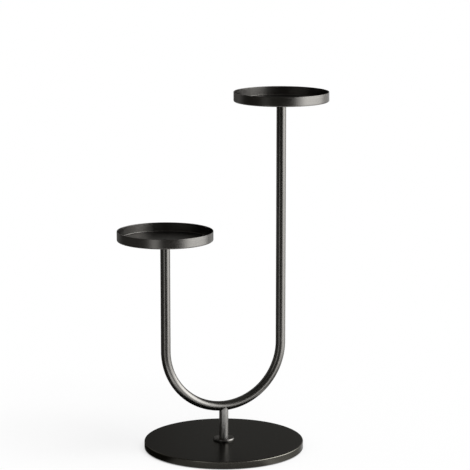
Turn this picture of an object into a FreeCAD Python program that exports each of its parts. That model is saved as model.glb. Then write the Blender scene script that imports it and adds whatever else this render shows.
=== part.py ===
"""Corner plant stand: two dish trays on one bent tube, on a short post and a weighted round base.

Millimetres, +Z up. The origin is on the floor, under the middle of the base. X runs in the plane of the
bent tube, with the short arm and the lower tray at -X and the tall arm and the upper tray at +X.
"""
import FreeCAD, Part
import math
import os

import Sketcher

# Driving sizes: name, value and meaning. Every other size is worked out from these.
SIZES = (
    # Base
    ("base_diameter", "364", "round base across"),
    ("base_height", "16", "base from its lower edge to its top face"),
    ("base_sheet", "1.5", "sheet of the pressed base cover"),
    ("base_bend", "0.8", "inside bend between the cover's top and its skirt"),
    ("plate_sheet", "1.2", "sheet of the bottom plate"),
    ("plate_bend", "1.0", "inside bends of the well pressed into the bottom plate"),
    ("plate_gap", "0.3", "bottom plate to the cover's skirt"),
    ("well_diameter", "46", "well in the bottom plate, outside"),
    ("ballast_gap", "0.6", "ballast to the skirt and to the well"),
    ("ballast_chamfer", "2", "cast edges of the ballast that clear the bends"),
    ("pad_diameter", "26", "floor pad across"),
    ("pad_thickness", "2", "floor pad, which lifts the base off the floor"),
    ("pad_count", "6", "floor pads in the ring"),
    ("pad_inset", "10", "rim of the base to the near edge of a pad"),
    # Bolt that clamps the base to the post
    ("bolt_diameter", "8", "bolt shank"),
    ("bolt_length", "22", "bolt under its head"),
    ("bolt_point", "1", "chamfer at the bolt's tip"),
    ("bolt_head_across", "13", "bolt head across flats"),
    ("bolt_head_height", "5.3", "bolt head"),
    ("bolt_head_crown", "0.9", "height of the crown turned on the head's corners"),
    ("washer_diameter", "24", "flat washer across"),
    ("washer_thickness", "2", "flat washer"),
    ("spring_diameter", "14.8", "spring washer across"),
    ("spring_thickness", "2", "spring washer, clamped flat"),
    ("spring_split", "9", "angle of the split in the spring washer"),
    ("hole_gap", "0.4", "bolt to the holes that it passes through, on the radius"),
    ("fit_gap", "0.1", "round pieces that are fixed in or on each other, on the radius"),
    # Post and collar
    ("post_diameter", "21", "post tube outside"),
    ("post_wall", "1.5", "post tube wall"),
    ("post_height", "69", "top of the base to the underside of the bend"),
    ("weld_leg", "0.5", "leg of the dressed weld round the top of the post"),
    ("plug_length", "22", "threaded plug in the foot of the post"),
    ("collar_diameter", "48", "collar across"),
    ("collar_rim", "5", "height of the collar's rim"),
    ("collar_lip", "1.2", "width of the flat on the collar's rim"),
    ("collar_round", "0.4", "rounded edges of the collar's rim"),
    ("collar_floor", "1.2", "thickness of the dished collar at the post"),
    ("collar_land", "1", "flat land round the collar's bore"),
    # Bent tube
    ("tube_diameter", "22", "bent tube outside"),
    ("tube_wall", "1.5", "bent tube wall"),
    ("arm_spacing", "280", "middle of one arm to the middle of the other"),
    ("lower_tray_height", "492", "floor to the underside of the lower tray"),
    ("upper_tray_height", "792", "floor to the underside of the upper tray"),
    # Trays and what holds them
    ("tray_diameter", "216", "tray outside"),
    ("tray_depth", "22", "tray from its underside to its rim"),
    ("tray_sheet", "1.5", "sheet of the tray"),
    ("tray_bend", "1.5", "inside bend between the tray's floor and its wall"),
    ("tray_lip", "0.5", "rounded edges of the tray's rim"),
    ("disc_diameter", "64", "support disc across"),
    ("disc_land", "0.5", "disc left under its countersink"),
    ("disc_round", "0.6", "rounded lower edge of the disc"),
    ("disc_weld", "2.5", "leg of the weld between the disc and the arm"),
    ("screw_diameter", "6", "tray screw shank"),
    ("screw_length", "18", "tray screw with its head"),
    ("screw_head", "12", "countersunk head across"),
    ("screw_recess", "0.2", "head below the tray's floor"),
    ("socket_across", "4", "hexagon socket across flats"),
    ("socket_depth", "2.2", "hexagon socket"),
    ("nut_across", "10", "weld nut across flats"),
    ("nut_height", "5", "weld nut"),
)

# Worked out from the driving sizes: name and formula. Heights are above the floor, but those of a tray and
# of what holds it, in the last two groups, are above the underside of that tray.
WORKED_OUT = (
    # Base
    ("base_top", "=Sizes.pad_thickness + Sizes.base_height"),
    ("base_radius", "=Sizes.base_diameter / 2"),
    ("cover_bend", "=Sizes.base_bend + Sizes.base_sheet"),
    ("cover_ceiling", "=base_top - Sizes.base_sheet"),
    ("skirt_radius", "=base_radius - Sizes.base_sheet"),
    ("plate_top", "=Sizes.pad_thickness + Sizes.plate_sheet"),
    ("plate_radius", "=skirt_radius - Sizes.plate_gap"),
    ("plate_outer_bend", "=Sizes.plate_bend + Sizes.plate_sheet"),
    ("well_radius", "=Sizes.well_diameter / 2"),
    ("well_inside", "=well_radius - Sizes.plate_sheet"),
    ("well_ceiling", "=cover_ceiling - Sizes.plate_sheet"),
    ("ballast_radius", "=skirt_radius - Sizes.ballast_gap"),
    ("ballast_bore", "=well_radius + Sizes.ballast_gap"),
    ("pad_radius", "=Sizes.pad_diameter / 2"),
    ("pad_circle", "=base_radius - Sizes.pad_inset - pad_radius"),
    # Bolt and washers, hung from the ceiling of the well
    ("bolt_radius", "=Sizes.bolt_diameter / 2"),
    ("bolt_hole", "=bolt_radius + Sizes.hole_gap"),
    ("washer_radius", "=Sizes.washer_diameter / 2"),
    ("washer_seat", "=well_ceiling - Sizes.washer_thickness"),
    ("spring_radius", "=Sizes.spring_diameter / 2"),
    ("spring_seat", "=washer_seat - Sizes.spring_thickness"),
    ("spring_sweep", "=360 - Sizes.spring_split"),
    ("bolt_face", "=spring_seat - Sizes.bolt_head_height"),
    ("bolt_flat", "=Sizes.bolt_head_across / 2"),
    ("bolt_corner", "=Sizes.bolt_head_across / sqrt(3)"),
    ("bolt_crown", "=bolt_face + Sizes.bolt_head_crown"),
    ("bolt_tip", "=spring_seat + Sizes.bolt_length"),
    # Post and collar
    ("post_radius", "=Sizes.post_diameter / 2"),
    ("post_bore", "=post_radius - Sizes.post_wall"),
    ("plug_radius", "=post_bore - Sizes.fit_gap"),
    ("plug_thread", "=bolt_radius + Sizes.fit_gap"),
    ("plug_top", "=base_top + Sizes.plug_length"),
    ("collar_bore", "=post_radius + Sizes.fit_gap"),
    ("collar_foot", "=collar_bore + Sizes.collar_land"),
    ("collar_radius", "=Sizes.collar_diameter / 2"),
    ("collar_inside", "=collar_radius - Sizes.collar_lip"),
    ("collar_top", "=base_top + Sizes.collar_rim"),
    ("collar_dip", "=base_top + Sizes.collar_floor"),
    # Bent tube
    ("tube_radius", "=Sizes.tube_diameter / 2"),
    ("tube_bore", "=tube_radius - Sizes.tube_wall"),
    ("bend_radius", "=Sizes.arm_spacing / 2"),
    ("bend_low", "=base_top + Sizes.post_height + tube_radius"),
    ("bend_middle", "=bend_low + bend_radius"),
    ("post_reach", "=bend_low - base_top"),
    ("bend_above_base", "=bend_middle - base_top"),
    ("cope_radius", "=tube_radius + Sizes.fit_gap"),
    ("weld_sleeve", "=post_radius + Sizes.weld_leg"),
    ("weld_saddle", "=tube_radius + Sizes.weld_leg"),
    ("weld_crown", "=Sizes.weld_leg * 4 / 5"),
    ("short_arm_x", "=-bend_radius"),
    ("short_arm_top", "=Sizes.lower_tray_height - disc_thickness"),
    ("tall_arm_top", "=Sizes.upper_tray_height - disc_thickness"),
    # Tray, with a dimple at its middle that takes the screw's 90 degree head
    ("tray_radius", "=Sizes.tray_diameter / 2"),
    ("tray_inside", "=tray_radius - Sizes.tray_sheet"),
    ("tray_outer_bend", "=Sizes.tray_bend + Sizes.tray_sheet"),
    ("screw_radius", "=Sizes.screw_diameter / 2"),
    ("screw_hole", "=screw_radius + Sizes.hole_gap"),
    ("screw_head_radius", "=Sizes.screw_head / 2"),
    ("screw_top", "=Sizes.tray_sheet - Sizes.screw_recess"),
    ("seat_radius", "=screw_head_radius + Sizes.fit_gap + Sizes.screw_recess"),
    ("seat_low", "=Sizes.tray_sheet - (seat_radius - screw_hole)"),
    ("dimple_slant", "=Sizes.tray_sheet * sqrt(2)"),
    ("dimple_radius", "=seat_radius + dimple_slant - Sizes.tray_sheet"),
    ("dimple_low", "=seat_low - dimple_slant"),
    # Support disc, nut, weld and screw, below the tray
    ("disc_radius", "=Sizes.disc_diameter / 2"),
    ("sink_radius", "=dimple_radius + Sizes.fit_gap"),
    ("sink_depth", "=sink_radius - screw_hole"),
    ("sink_low", "=-sink_depth"),
    ("disc_thickness", "=sink_depth + Sizes.disc_land"),
    ("disc_low", "=-disc_thickness"),
    ("nut_low", "=disc_low - Sizes.nut_height"),
    ("nut_corner", "=Sizes.nut_across / sqrt(3)"),
    ("nut_thread", "=screw_radius + Sizes.fit_gap"),
    ("disc_weld_radius", "=cope_radius + Sizes.disc_weld"),
    ("disc_weld_low", "=disc_low - Sizes.disc_weld"),
    ("screw_head_low", "=screw_top - (screw_head_radius - screw_radius)"),
    ("screw_tip", "=screw_top - Sizes.screw_length"),
    ("socket_floor", "=screw_top - Sizes.socket_depth"),
    ("socket_corner", "=Sizes.socket_across / sqrt(3)"),
)

AXIS = "axis"  # stands for a corner on the sketch's own axis
START_INDEX, END_INDEX, CENTRE_INDEX = 1, 2, 3  # the points of a sketched line or arc
ORIGIN_INDEX, ACROSS_INDEX, UP_INDEX = -1, -1, -2  # a sketch's built-in origin and axes
FULL_TURN = 360
HALF_TURN = math.pi
RING_MATCH = 1e-4  # how nearly an edge has to lie at a stated radius and height
SADDLE_MATCH = 1e-2  # how nearly an edge has to follow the crossing of post and bend
EDGE_SAMPLES = 9  # points tried along such an edge
VOLUME_MATCH = 1e-4  # how nearly the bent tube has to have its section's volume
UPRIGHT_RING = FreeCAD.Rotation(FreeCAD.Vector(1, 0, 0), 90)  # turns a ring's axis from Z to Y

doc = FreeCAD.newDocument("corner_plant_stand")


def fill_sheet(name, rows):
    """Make a spreadsheet with one named cell for each row."""
    sheet = doc.addObject("Spreadsheet::Sheet", name)
    for line, row in enumerate(rows, start=1):
        alias, content = row[:2]
        sheet.set(f"A{line}", alias)
        sheet.set(f"B{line}", content)
        sheet.setAlias(f"B{line}", alias)
        if len(row) > 2:
            sheet.set(f"C{line}", row[2])
    return sheet


sizes = fill_sheet("Sizes", SIZES)
worked_out = fill_sheet("WorkedOut", WORKED_OUT)
doc.recompute()
DRIVING = {row[0] for row in SIZES}


def cell(name):
    """The expression that reads a named cell."""
    return f"Sizes.{name}" if name in DRIVING else f"WorkedOut.{name}"


def number(name):
    """The present value of a named cell, or 0 on an axis."""
    if name == AXIS:
        return 0.0
    return float(getattr(sizes if name in DRIVING else worked_out, name))


def bind(thing, **cells):
    """Tie properties of an object to cells; a double underscore stands for a dot."""
    for path, name in cells.items():
        thing.setExpression(path.replace("__", "."), cell(name))


# Bodies and sketches


def new_body(label, x=None, z=None):
    """A body with its own label, placed by cells along X and Z."""
    body = doc.addObject("PartDesign::Body", label)
    body.Label = label
    if x:
        bind(body, Placement__Base__x=x)
    if z:
        bind(body, Placement__Base__z=z)
    return body


def origin_feature(body, role):
    """One of the body's own origin planes or axes."""
    return next(feature for feature in body.Origin.OriginFeatures if feature.Role == role)


def new_sketch(body, name, plane, height=None):
    """A sketch on one of the body's origin planes, lifted by a cell if one is named."""
    sketch = body.newObject("Sketcher::SketchObject", f"{body.Label}_{name}")
    sketch.AttachmentSupport = (origin_feature(body, plane), [""])
    sketch.MapMode = "FlatFace"
    if height:
        bind(sketch, AttachmentOffset__Base__z=height)
    return sketch


def pin_point(sketch, shape, point, x, y):
    """Tie a point of a sketched shape to the cells of its two coordinates."""
    for kind, name, axis in (("DistanceX", x, UP_INDEX), ("DistanceY", y, ACROSS_INDEX)):
        if name == AXIS:
            sketch.addConstraint(Sketcher.Constraint("PointOnObject", shape, point, axis))
        elif name:
            rule = Sketcher.Constraint(kind, ORIGIN_INDEX, START_INDEX, shape, point, number(name))
            sketch.setExpression(f"Constraints[{sketch.addConstraint(rule)}]", cell(name))


def draw_outline(sketch, corners):
    """Draw a closed outline whose corners are pairs of cell names, and tie every corner to its cells.

    Neighbours that share a cell are held by a vertical or horizontal line, so only the first is tied.
    """
    count = len(corners)
    points = [FreeCAD.Vector(number(x), number(y), 0) for x, y in corners]
    lines = []
    for index in range(count):
        line = Part.LineSegment(points[index], points[(index + 1) % count])
        lines.append(sketch.addGeometry(line))
    for index, line in enumerate(lines):
        following = (index + 1) % count
        joined = (line, END_INDEX, lines[following], START_INDEX)
        sketch.addConstraint(Sketcher.Constraint("Coincident", *joined))
        if corners[index][0] == corners[following][0]:
            sketch.addConstraint(Sketcher.Constraint("Vertical", line))
        if corners[index][1] == corners[following][1]:
            sketch.addConstraint(Sketcher.Constraint("Horizontal", line))
    for index, line in enumerate(lines):
        x, y = corners[index]
        before_x, before_y = corners[index - 1]
        pin_point(sketch, line, START_INDEX, None if x == before_x else x, None if y == before_y else y)


def draw_circle(sketch, radius, x=AXIS, y=AXIS):
    """Draw a circle whose radius and middle are cells."""
    middle = FreeCAD.Vector(number(x), number(y), 0)
    circle = sketch.addGeometry(Part.Circle(middle, FreeCAD.Vector(0, 0, 1), number(radius)))
    pin_point(sketch, circle, CENTRE_INDEX, x, y)
    rule = Sketcher.Constraint("Radius", circle, number(radius))
    sketch.setExpression(f"Constraints[{sketch.addConstraint(rule)}]", cell(radius))


# Features


def turn(body, name, corners, sweep=None, kind="PartDesign::Revolution"):
    """Turn an outline, given as radius and height, about the body's Z axis."""
    sketch = new_sketch(body, f"{name}_outline", "XZ_Plane")
    draw_outline(sketch, corners)
    feature = body.newObject(kind, f"{body.Label}_{name}")
    feature.Profile = sketch
    feature.ReferenceAxis = (sketch, ["V_Axis"])
    feature.Angle = FULL_TURN
    if sweep:
        bind(feature, Angle=sweep)
    doc.recompute()
    return feature


def ring_edges(feature, rings):
    """Names of the round edges that lie at the given pairs of radius and height."""
    names = []
    for index, edge in enumerate(feature.Shape.Edges, start=1):
        if not isinstance(edge.Curve, Part.Circle):
            continue
        for radius, height in rings:
            off_radius = abs(edge.Curve.Radius - number(radius))
            off_height = abs(edge.Curve.Center.z - number(height))
            if max(off_radius, off_height) < RING_MATCH:
                names.append(f"Edge{index}")
    if len(names) != len(rings):
        raise RuntimeError(f"{feature.Label}: {len(names)} of {len(rings)} ring edges found")
    return names


def ease(body, name, feature, rings, size, kind="PartDesign::Fillet"):
    """Round or chamfer the ring edges of a feature by the size in a cell."""
    eased = body.newObject(kind, f"{body.Label}_{name}")
    eased.Base = (feature, ring_edges(feature, rings))
    bind(eased, **{"Radius" if kind == "PartDesign::Fillet" else "Size": size})
    doc.recompute()
    return eased


def solid_form(body, name, kind, height=None, turned=None, **cells):
    """Add or cut a ready-made form, such as a cylinder, prism or torus, on the body's Z axis."""
    form = body.newObject(f"PartDesign::{kind}", f"{body.Label}_{name}")
    if turned:
        form.Placement = FreeCAD.Placement(FreeCAD.Vector(), turned)
    if height:
        bind(form, Placement__Base__z=height)
    bind(form, **cells)
    doc.recompute()
    return form


def hexagon(body, name, kind, corner, low, tall):
    """Add or cut a hexagonal prism that stands on the height in a cell."""
    return solid_form(body, name, kind, height=low, Circumradius=corner, Height=tall)


# Base


def build_base_cover():
    """Pressed cap with a skirt and a rounded top edge, pierced for the bolt."""
    body = new_body("base_cover")
    cap = turn(body, "cap", (
        ("bolt_hole", "cover_ceiling"),
        ("skirt_radius", "cover_ceiling"),
        ("skirt_radius", "pad_thickness"),
        ("base_radius", "pad_thickness"),
        ("base_radius", "base_top"),
        ("bolt_hole", "base_top"),
    ))
    outer = ease(body, "outer_bend", cap, [("base_radius", "base_top")], "cover_bend")
    ease(body, "inner_bend", outer, [("skirt_radius", "cover_ceiling")], "base_bend")
    return body


def build_base_ballast():
    """Cast ring that fills the base between the skirt and the well."""
    body = new_body("base_ballast")
    ring = turn(body, "ring", (
        ("ballast_bore", "plate_top"),
        ("ballast_radius", "plate_top"),
        ("ballast_radius", "cover_ceiling"),
        ("ballast_bore", "cover_ceiling"),
    ))
    bends = [("ballast_radius", "cover_ceiling"), ("ballast_bore", "plate_top")]
    ease(body, "cast_edges", ring, bends, "ballast_chamfer", "PartDesign::Chamfer")
    return body


def build_base_bottom_plate():
    """Plate that closes the base, with a well pressed up to the cover for the bolt head."""
    body = new_body("base_bottom_plate")
    plate = turn(body, "pressing", (
        ("bolt_hole", "well_ceiling"),
        ("well_inside", "well_ceiling"),
        ("well_inside", "pad_thickness"),
        ("plate_radius", "pad_thickness"),
        ("plate_radius", "plate_top"),
        ("well_radius", "plate_top"),
        ("well_radius", "cover_ceiling"),
        ("bolt_hole", "cover_ceiling"),
    ))
    inner_bends = [("well_inside", "well_ceiling"), ("well_radius", "plate_top")]
    outer_bends = [("well_radius", "cover_ceiling"), ("well_inside", "pad_thickness")]
    inner = ease(body, "inner_bends", plate, inner_bends, "plate_bend")
    ease(body, "outer_bends", inner, outer_bends, "plate_outer_bend")
    return body


def build_floor_pads():
    """Ring of round pads under the bottom plate."""
    body = new_body("floor_pads")
    body.AllowCompound = True
    sketch = new_sketch(body, "pad_outline", "XY_Plane")
    draw_circle(sketch, "pad_radius", x="pad_circle")
    pad = body.newObject("PartDesign::Pad", "floor_pads_pad")
    pad.Profile = sketch
    bind(pad, Length="pad_thickness")
    doc.recompute()
    ring = body.newObject("PartDesign::PolarPattern", "floor_pads_ring")
    ring.Originals = [pad]
    ring.Axis = (origin_feature(body, "Z_Axis"), [""])
    ring.Angle = FULL_TURN
    bind(ring, Occurrences="pad_count")
    body.Tip = ring
    return body


# Bolt that clamps the base to the post


def build_base_bolt():
    """Hexagon head bolt, head down in the well."""
    body = new_body("base_bolt")
    hexagon(body, "head", "AdditivePrism", "bolt_corner", "bolt_face", "bolt_head_height")
    shank = turn(body, "shank", (
        (AXIS, "spring_seat"),
        ("bolt_radius", "spring_seat"),
        ("bolt_radius", "bolt_tip"),
        (AXIS, "bolt_tip"),
    ))
    ease(body, "point", shank, [("bolt_radius", "bolt_tip")], "bolt_point", "PartDesign::Chamfer")
    turn(body, "crown", (
        ("bolt_flat", "bolt_face"),
        ("bolt_corner", "bolt_face"),
        ("bolt_corner", "bolt_crown"),
    ), kind="PartDesign::Groove")
    return body


def build_flat_ring(label, bore, radius, low, high, sweep=None):
    """Flat ring, such as a washer, turned through the sweep in a cell or all the way round."""
    body = new_body(label)
    turn(body, "ring", ((bore, low), (radius, low), (radius, high), (bore, high)), sweep)
    return body


# Post, collar and bent tube


def build_post_collar():
    """Low ring round the foot of the post, dished from its rounded rim down to the post."""
    body = new_body("post_collar")
    dish = turn(body, "dish", (
        ("collar_bore", "base_top"),
        ("collar_radius", "base_top"),
        ("collar_radius", "collar_top"),
        ("collar_inside", "collar_top"),
        ("collar_foot", "collar_dip"),
        ("collar_bore", "collar_dip"),
    ))
    rims = [("collar_radius", "collar_top"), ("collar_inside", "collar_top")]
    ease(body, "rim", dish, rims, "collar_round")
    return body


def build_post_tube():
    """Short tube on the base, its upper end coped to the bend that it carries."""
    body = new_body("post_tube", z="base_top")
    sketch = new_sketch(body, "section", "XY_Plane")
    draw_circle(sketch, "post_radius")
    draw_circle(sketch, "post_bore")
    tube = body.newObject("PartDesign::Pad", "post_tube_length")
    tube.Profile = sketch
    bind(tube, Length="post_reach")
    doc.recompute()
    solid_form(body, "cope", "SubtractiveTorus", "bend_above_base", UPRIGHT_RING,
               Radius1="bend_radius", Radius2="cope_radius")
    return body


def stub_form(name, radius):
    """A length of the post's axis as a plain cylinder of the radius in a cell."""
    stub = doc.addObject("Part::Cylinder", f"post_weld_{name}")
    bind(stub, Radius=radius, Height="post_reach", Placement__Base__z="base_top")
    return stub


def bend_form(name, radius):
    """The bend's centre line, carried on to a full ring, with the section radius in a cell."""
    ring = doc.addObject("Part::Torus", f"post_weld_{name}")
    ring.Placement = FreeCAD.Placement(FreeCAD.Vector(), UPRIGHT_RING)
    bind(ring, Radius1="bend_radius", Radius2=radius, Placement__Base__z="bend_middle")
    return ring


def lies_on_both(edge, stub_radius, ring_radius):
    """Whether an edge runs where a stub and a ring of these radii cross."""
    for point in edge.discretize(EDGE_SAMPLES):
        from_axis = math.hypot(point.x, point.y)
        from_line = math.hypot(point.x, point.z - number("bend_middle")) - number("bend_radius")
        off_stub = abs(from_axis - number(stub_radius))
        off_ring = abs(math.hypot(from_line, point.y) - number(ring_radius))
        if max(off_stub, off_ring) > SADDLE_MATCH:
            return False
    return True


def build_post_weld():
    """Bead in the saddle-shaped corner between the post and the bend.

    It is what a wider post and a wider tube have in common, with its outer edge rounded, less the tube
    and the post themselves.
    """
    wide = doc.addObject("Part::Common", "post_weld_blank")
    wide.Base = stub_form("wide_stub", "weld_sleeve")
    wide.Tool = bend_form("wide_bend", "weld_saddle")
    doc.recompute()
    crown = number("weld_crown")
    rounded = doc.addObject("Part::Fillet", "post_weld_crown")
    rounded.Base = wide
    rounded.Edges = [(index, crown, crown) for index, edge in enumerate(wide.Shape.Edges, start=1)
                     if lies_on_both(edge, "weld_sleeve", "weld_saddle")]
    without_tube = doc.addObject("Part::Cut", "post_weld_without_tube")
    without_tube.Base = rounded
    without_tube.Tool = bend_form("bend", "cope_radius")
    weld = doc.addObject("Part::Cut", "post_weld")
    weld.Base = without_tube
    weld.Tool = stub_form("stub", "collar_bore")
    return weld


def build_frame_tube():
    """One tube bent into a U with a short and a tall arm: a ring section carried along its centre line."""
    body = new_body("frame_tube")
    path = new_sketch(body, "centre_line", "XZ_Plane")
    radius, middle = number("bend_radius"), number("bend_middle")
    foot_left, foot_right = FreeCAD.Vector(-radius, middle, 0), FreeCAD.Vector(radius, middle, 0)
    top_left = FreeCAD.Vector(-radius, number("short_arm_top"), 0)
    top_right = FreeCAD.Vector(radius, number("tall_arm_top"), 0)
    round_bend = Part.Circle(FreeCAD.Vector(0, middle, 0), FreeCAD.Vector(0, 0, 1), radius)
    short_arm = path.addGeometry(Part.LineSegment(top_left, foot_left))
    bend = path.addGeometry(Part.ArcOfCircle(round_bend, HALF_TURN, 2 * HALF_TURN))
    tall_arm = path.addGeometry(Part.LineSegment(foot_right, top_right))
    path.addConstraint(Sketcher.Constraint("Tangent", short_arm, END_INDEX, bend, START_INDEX))
    path.addConstraint(Sketcher.Constraint("Tangent", bend, END_INDEX, tall_arm, START_INDEX))
    path.addConstraint(Sketcher.Constraint("Vertical", short_arm))
    pin_point(path, bend, CENTRE_INDEX, AXIS, "bend_middle")
    pin_point(path, short_arm, START_INDEX, "short_arm_x", "short_arm_top")
    pin_point(path, tall_arm, END_INDEX, None, "tall_arm_top")

    section = new_sketch(body, "section", "XY_Plane", "short_arm_top")
    draw_circle(section, "tube_radius", x="short_arm_x")
    draw_circle(section, "tube_bore", x="short_arm_x")
    tube = body.newObject("PartDesign::AdditivePipe", "frame_tube_pipe")
    tube.Profile = section
    tube.Spine = (path, ["Edge1", "Edge2", "Edge3"])
    doc.recompute()

    area = HALF_TURN * (number("tube_radius") ** 2 - number("tube_bore") ** 2)
    length = path.Shape.Length
    if abs(tube.Shape.Volume / (area * length) - 1) > VOLUME_MATCH:
        raise RuntimeError("the bent tube's volume is not its section times its length")
    return body


# Trays and what holds them: each in its own frame, with z = 0 at the underside of the tray


def build_tray(label, x, z):
    """Pressed dish with a dimple at its middle for the screw's head."""
    body = new_body(label, x, z)
    dish = turn(body, "pressing", (
        ("screw_hole", "dimple_low"),
        ("dimple_radius", AXIS),
        ("tray_radius", AXIS),
        ("tray_radius", "tray_depth"),
        ("tray_inside", "tray_depth"),
        ("tray_inside", "tray_sheet"),
        ("seat_radius", "tray_sheet"),
        ("screw_hole", "seat_low"),
    ))
    outer = ease(body, "outer_bend", dish, [("tray_radius", AXIS)], "tray_outer_bend")
    inner = ease(body, "inner_bend", outer, [("tray_inside", "tray_sheet")], "tray_bend")
    lips = [("tray_radius", "tray_depth"), ("tray_inside", "tray_depth")]
    ease(body, "lip", inner, lips, "tray_lip")
    return body


def build_tray_disc(label, x, z):
    """Support disc on the end of an arm, countersunk to take the tray's dimple."""
    body = new_body(label, x, z)
    disc = turn(body, "blank", (
        ("screw_hole", "disc_low"),
        ("disc_radius", "disc_low"),
        ("disc_radius", AXIS),
        ("sink_radius", AXIS),
        ("screw_hole", "sink_low"),
    ))
    ease(body, "lower_edge", disc, [("disc_radius", "disc_low")], "disc_round")
    return body


def build_disc_weld(label, x, z):
    """Fillet weld round the arm, under the disc."""
    body = new_body(label, x, z)
    turn(body, "bead", (
        ("cope_radius", "disc_weld_low"),
        ("disc_weld_radius", "disc_low"),
        ("cope_radius", "disc_low"),
    ))
    return body


def build_weld_nut(label, x, z):
    """Hexagon nut welded under the disc, inside the arm."""
    body = new_body(label, x, z)
    hexagon(body, "blank", "AdditivePrism", "nut_corner", "nut_low", "nut_height")
    solid_form(body, "thread", "SubtractiveCylinder", "nut_low", Radius="nut_thread", Height="nut_height")
    return body


def build_tray_screw(label, x, z):
    """Countersunk screw with a hexagon socket."""
    body = new_body(label, x, z)
    turn(body, "blank", (
        (AXIS, "screw_tip"),
        ("screw_radius", "screw_tip"),
        ("screw_radius", "screw_head_low"),
        ("screw_head_radius", "screw_top"),
        (AXIS, "screw_top"),
    ))
    hexagon(body, "socket", "SubtractivePrism", "socket_corner", "socket_floor", "socket_depth")
    return body


def build_tier(name, x, z):
    """A tray with the disc, weld, nut and screw that hold it on its arm."""
    return [
        build_tray(f"{name}_tray", x, z),
        build_tray_disc(f"{name}_tray_disc", x, z),
        build_disc_weld(f"{name}_disc_weld", x, z),
        build_weld_nut(f"{name}_weld_nut", x, z),
        build_tray_screw(f"{name}_tray_screw", x, z),
    ]


def build_stand():
    """Every piece of the stand, from the floor up."""
    return [
        build_floor_pads(),
        build_base_bottom_plate(),
        build_base_ballast(),
        build_base_cover(),
        build_base_bolt(),
        build_flat_ring("base_washer", "bolt_hole", "washer_radius", "washer_seat", "well_ceiling"),
        build_flat_ring("base_spring_washer", "bolt_hole", "spring_radius", "spring_seat", "washer_seat",
                        "spring_sweep"),
        build_flat_ring("post_plug", "plug_thread", "plug_radius", "base_top", "plug_top"),
        build_post_collar(),
        build_post_tube(),
        build_post_weld(),
        build_frame_tube(),
        *build_tier("lower", "short_arm_x", "lower_tray_height"),
        *build_tier("upper", "bend_radius", "upper_tray_height"),
    ]


def check(pieces):
    """Stop before anything is written if a feature failed or a piece is not whole."""
    for item in doc.Objects:
        if "Invalid" in item.State or "Error" in item.State:
            raise RuntimeError(f"{item.Label} failed: {item.State}")
    for piece in pieces:
        wanted = round(number("pad_count")) if piece.Label == "floor_pads" else 1
        shape = piece.Shape
        if shape.isNull() or not shape.isValid() or len(shape.Solids) != wanted:
            raise RuntimeError(f"{piece.Label} is not {wanted} valid solid(s)")


stand = build_stand()
doc.recompute()
check(stand)
os.makedirs("parts", exist_ok=True)
for piece in stand:
    piece.Shape.exportStep(f"parts/{piece.Label}.step")
    print(f"{piece.Label}: {piece.Shape.Volume:.1f} cubic mm")
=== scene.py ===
"""Looks of the corner plant stand: a smooth piece with its finish in the place of each solid that shows.

Metres, in the part's own frame: +Z up, the origin on the floor under the middle of the base, X in the plane
of the bent tube, with the short arm at -X and the tall arm at +X.
"""
import logging
import math
from collections.abc import Sequence
from dataclasses import dataclass, field
from enum import Enum, StrEnum
from typing import Any, Protocol

import bmesh
import bpy
import numpy as np
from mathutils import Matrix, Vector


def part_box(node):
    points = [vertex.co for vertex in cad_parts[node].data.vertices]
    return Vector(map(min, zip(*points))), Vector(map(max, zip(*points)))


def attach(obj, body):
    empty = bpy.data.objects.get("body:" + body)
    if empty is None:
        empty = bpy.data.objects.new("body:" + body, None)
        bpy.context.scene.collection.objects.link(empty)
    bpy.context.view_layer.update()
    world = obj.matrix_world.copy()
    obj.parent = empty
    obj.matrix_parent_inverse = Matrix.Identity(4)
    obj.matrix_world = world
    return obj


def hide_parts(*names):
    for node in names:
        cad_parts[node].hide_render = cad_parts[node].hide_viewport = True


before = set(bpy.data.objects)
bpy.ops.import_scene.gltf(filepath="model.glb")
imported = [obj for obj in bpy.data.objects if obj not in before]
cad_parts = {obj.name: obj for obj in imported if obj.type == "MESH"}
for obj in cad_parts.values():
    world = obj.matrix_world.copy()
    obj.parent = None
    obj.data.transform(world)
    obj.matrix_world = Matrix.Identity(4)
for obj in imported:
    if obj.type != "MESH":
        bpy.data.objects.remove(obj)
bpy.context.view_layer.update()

LOG = logging.getLogger("plant_stand")
BODY = "root"
MM = 0.001
TURN = 2 * math.pi
DEGREES = 360  # in a turn
GRAIN = "grain"  # attribute: cosine and sine of the angle round a piece, and the length along its outline
GLOW = "glow"  # attribute: how bright the tent is
MERGE = 1e-7  # points nearer than this are one point, as at a pole
SHARP = math.radians(34)  # a bend above this angle between two faces shows as an edge
RIPPLE_COLUMNS = 8  # points along each ripple of a weld

Triple = tuple[float, float, float]
Frames = tuple[np.ndarray, np.ndarray, np.ndarray]
Number = float | np.ndarray
Row = tuple[Number, Number]  # out from an axis and along it, each as one number or an array
Sockets = dict[str | int, Any]  # values or wires for a node's inputs, by name or number


# Surfaces


@dataclass(frozen=True)
class Corner:
    """A corner of an outline.

    Attributes:
        out: distance from the axis.
        along: place along the axis.
        rounding: radius that the corner is rounded by.
    """

    out: float
    along: float
    rounding: float = 0.0


@dataclass(frozen=True)
class Fineness:
    """How finely a turned piece is meshed.

    Attributes:
        columns: points round it.
        step: longest run along its outline.
        arc: straight steps in each rounded corner.
    """

    columns: int
    step: float = math.inf
    arc: int = 8


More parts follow.
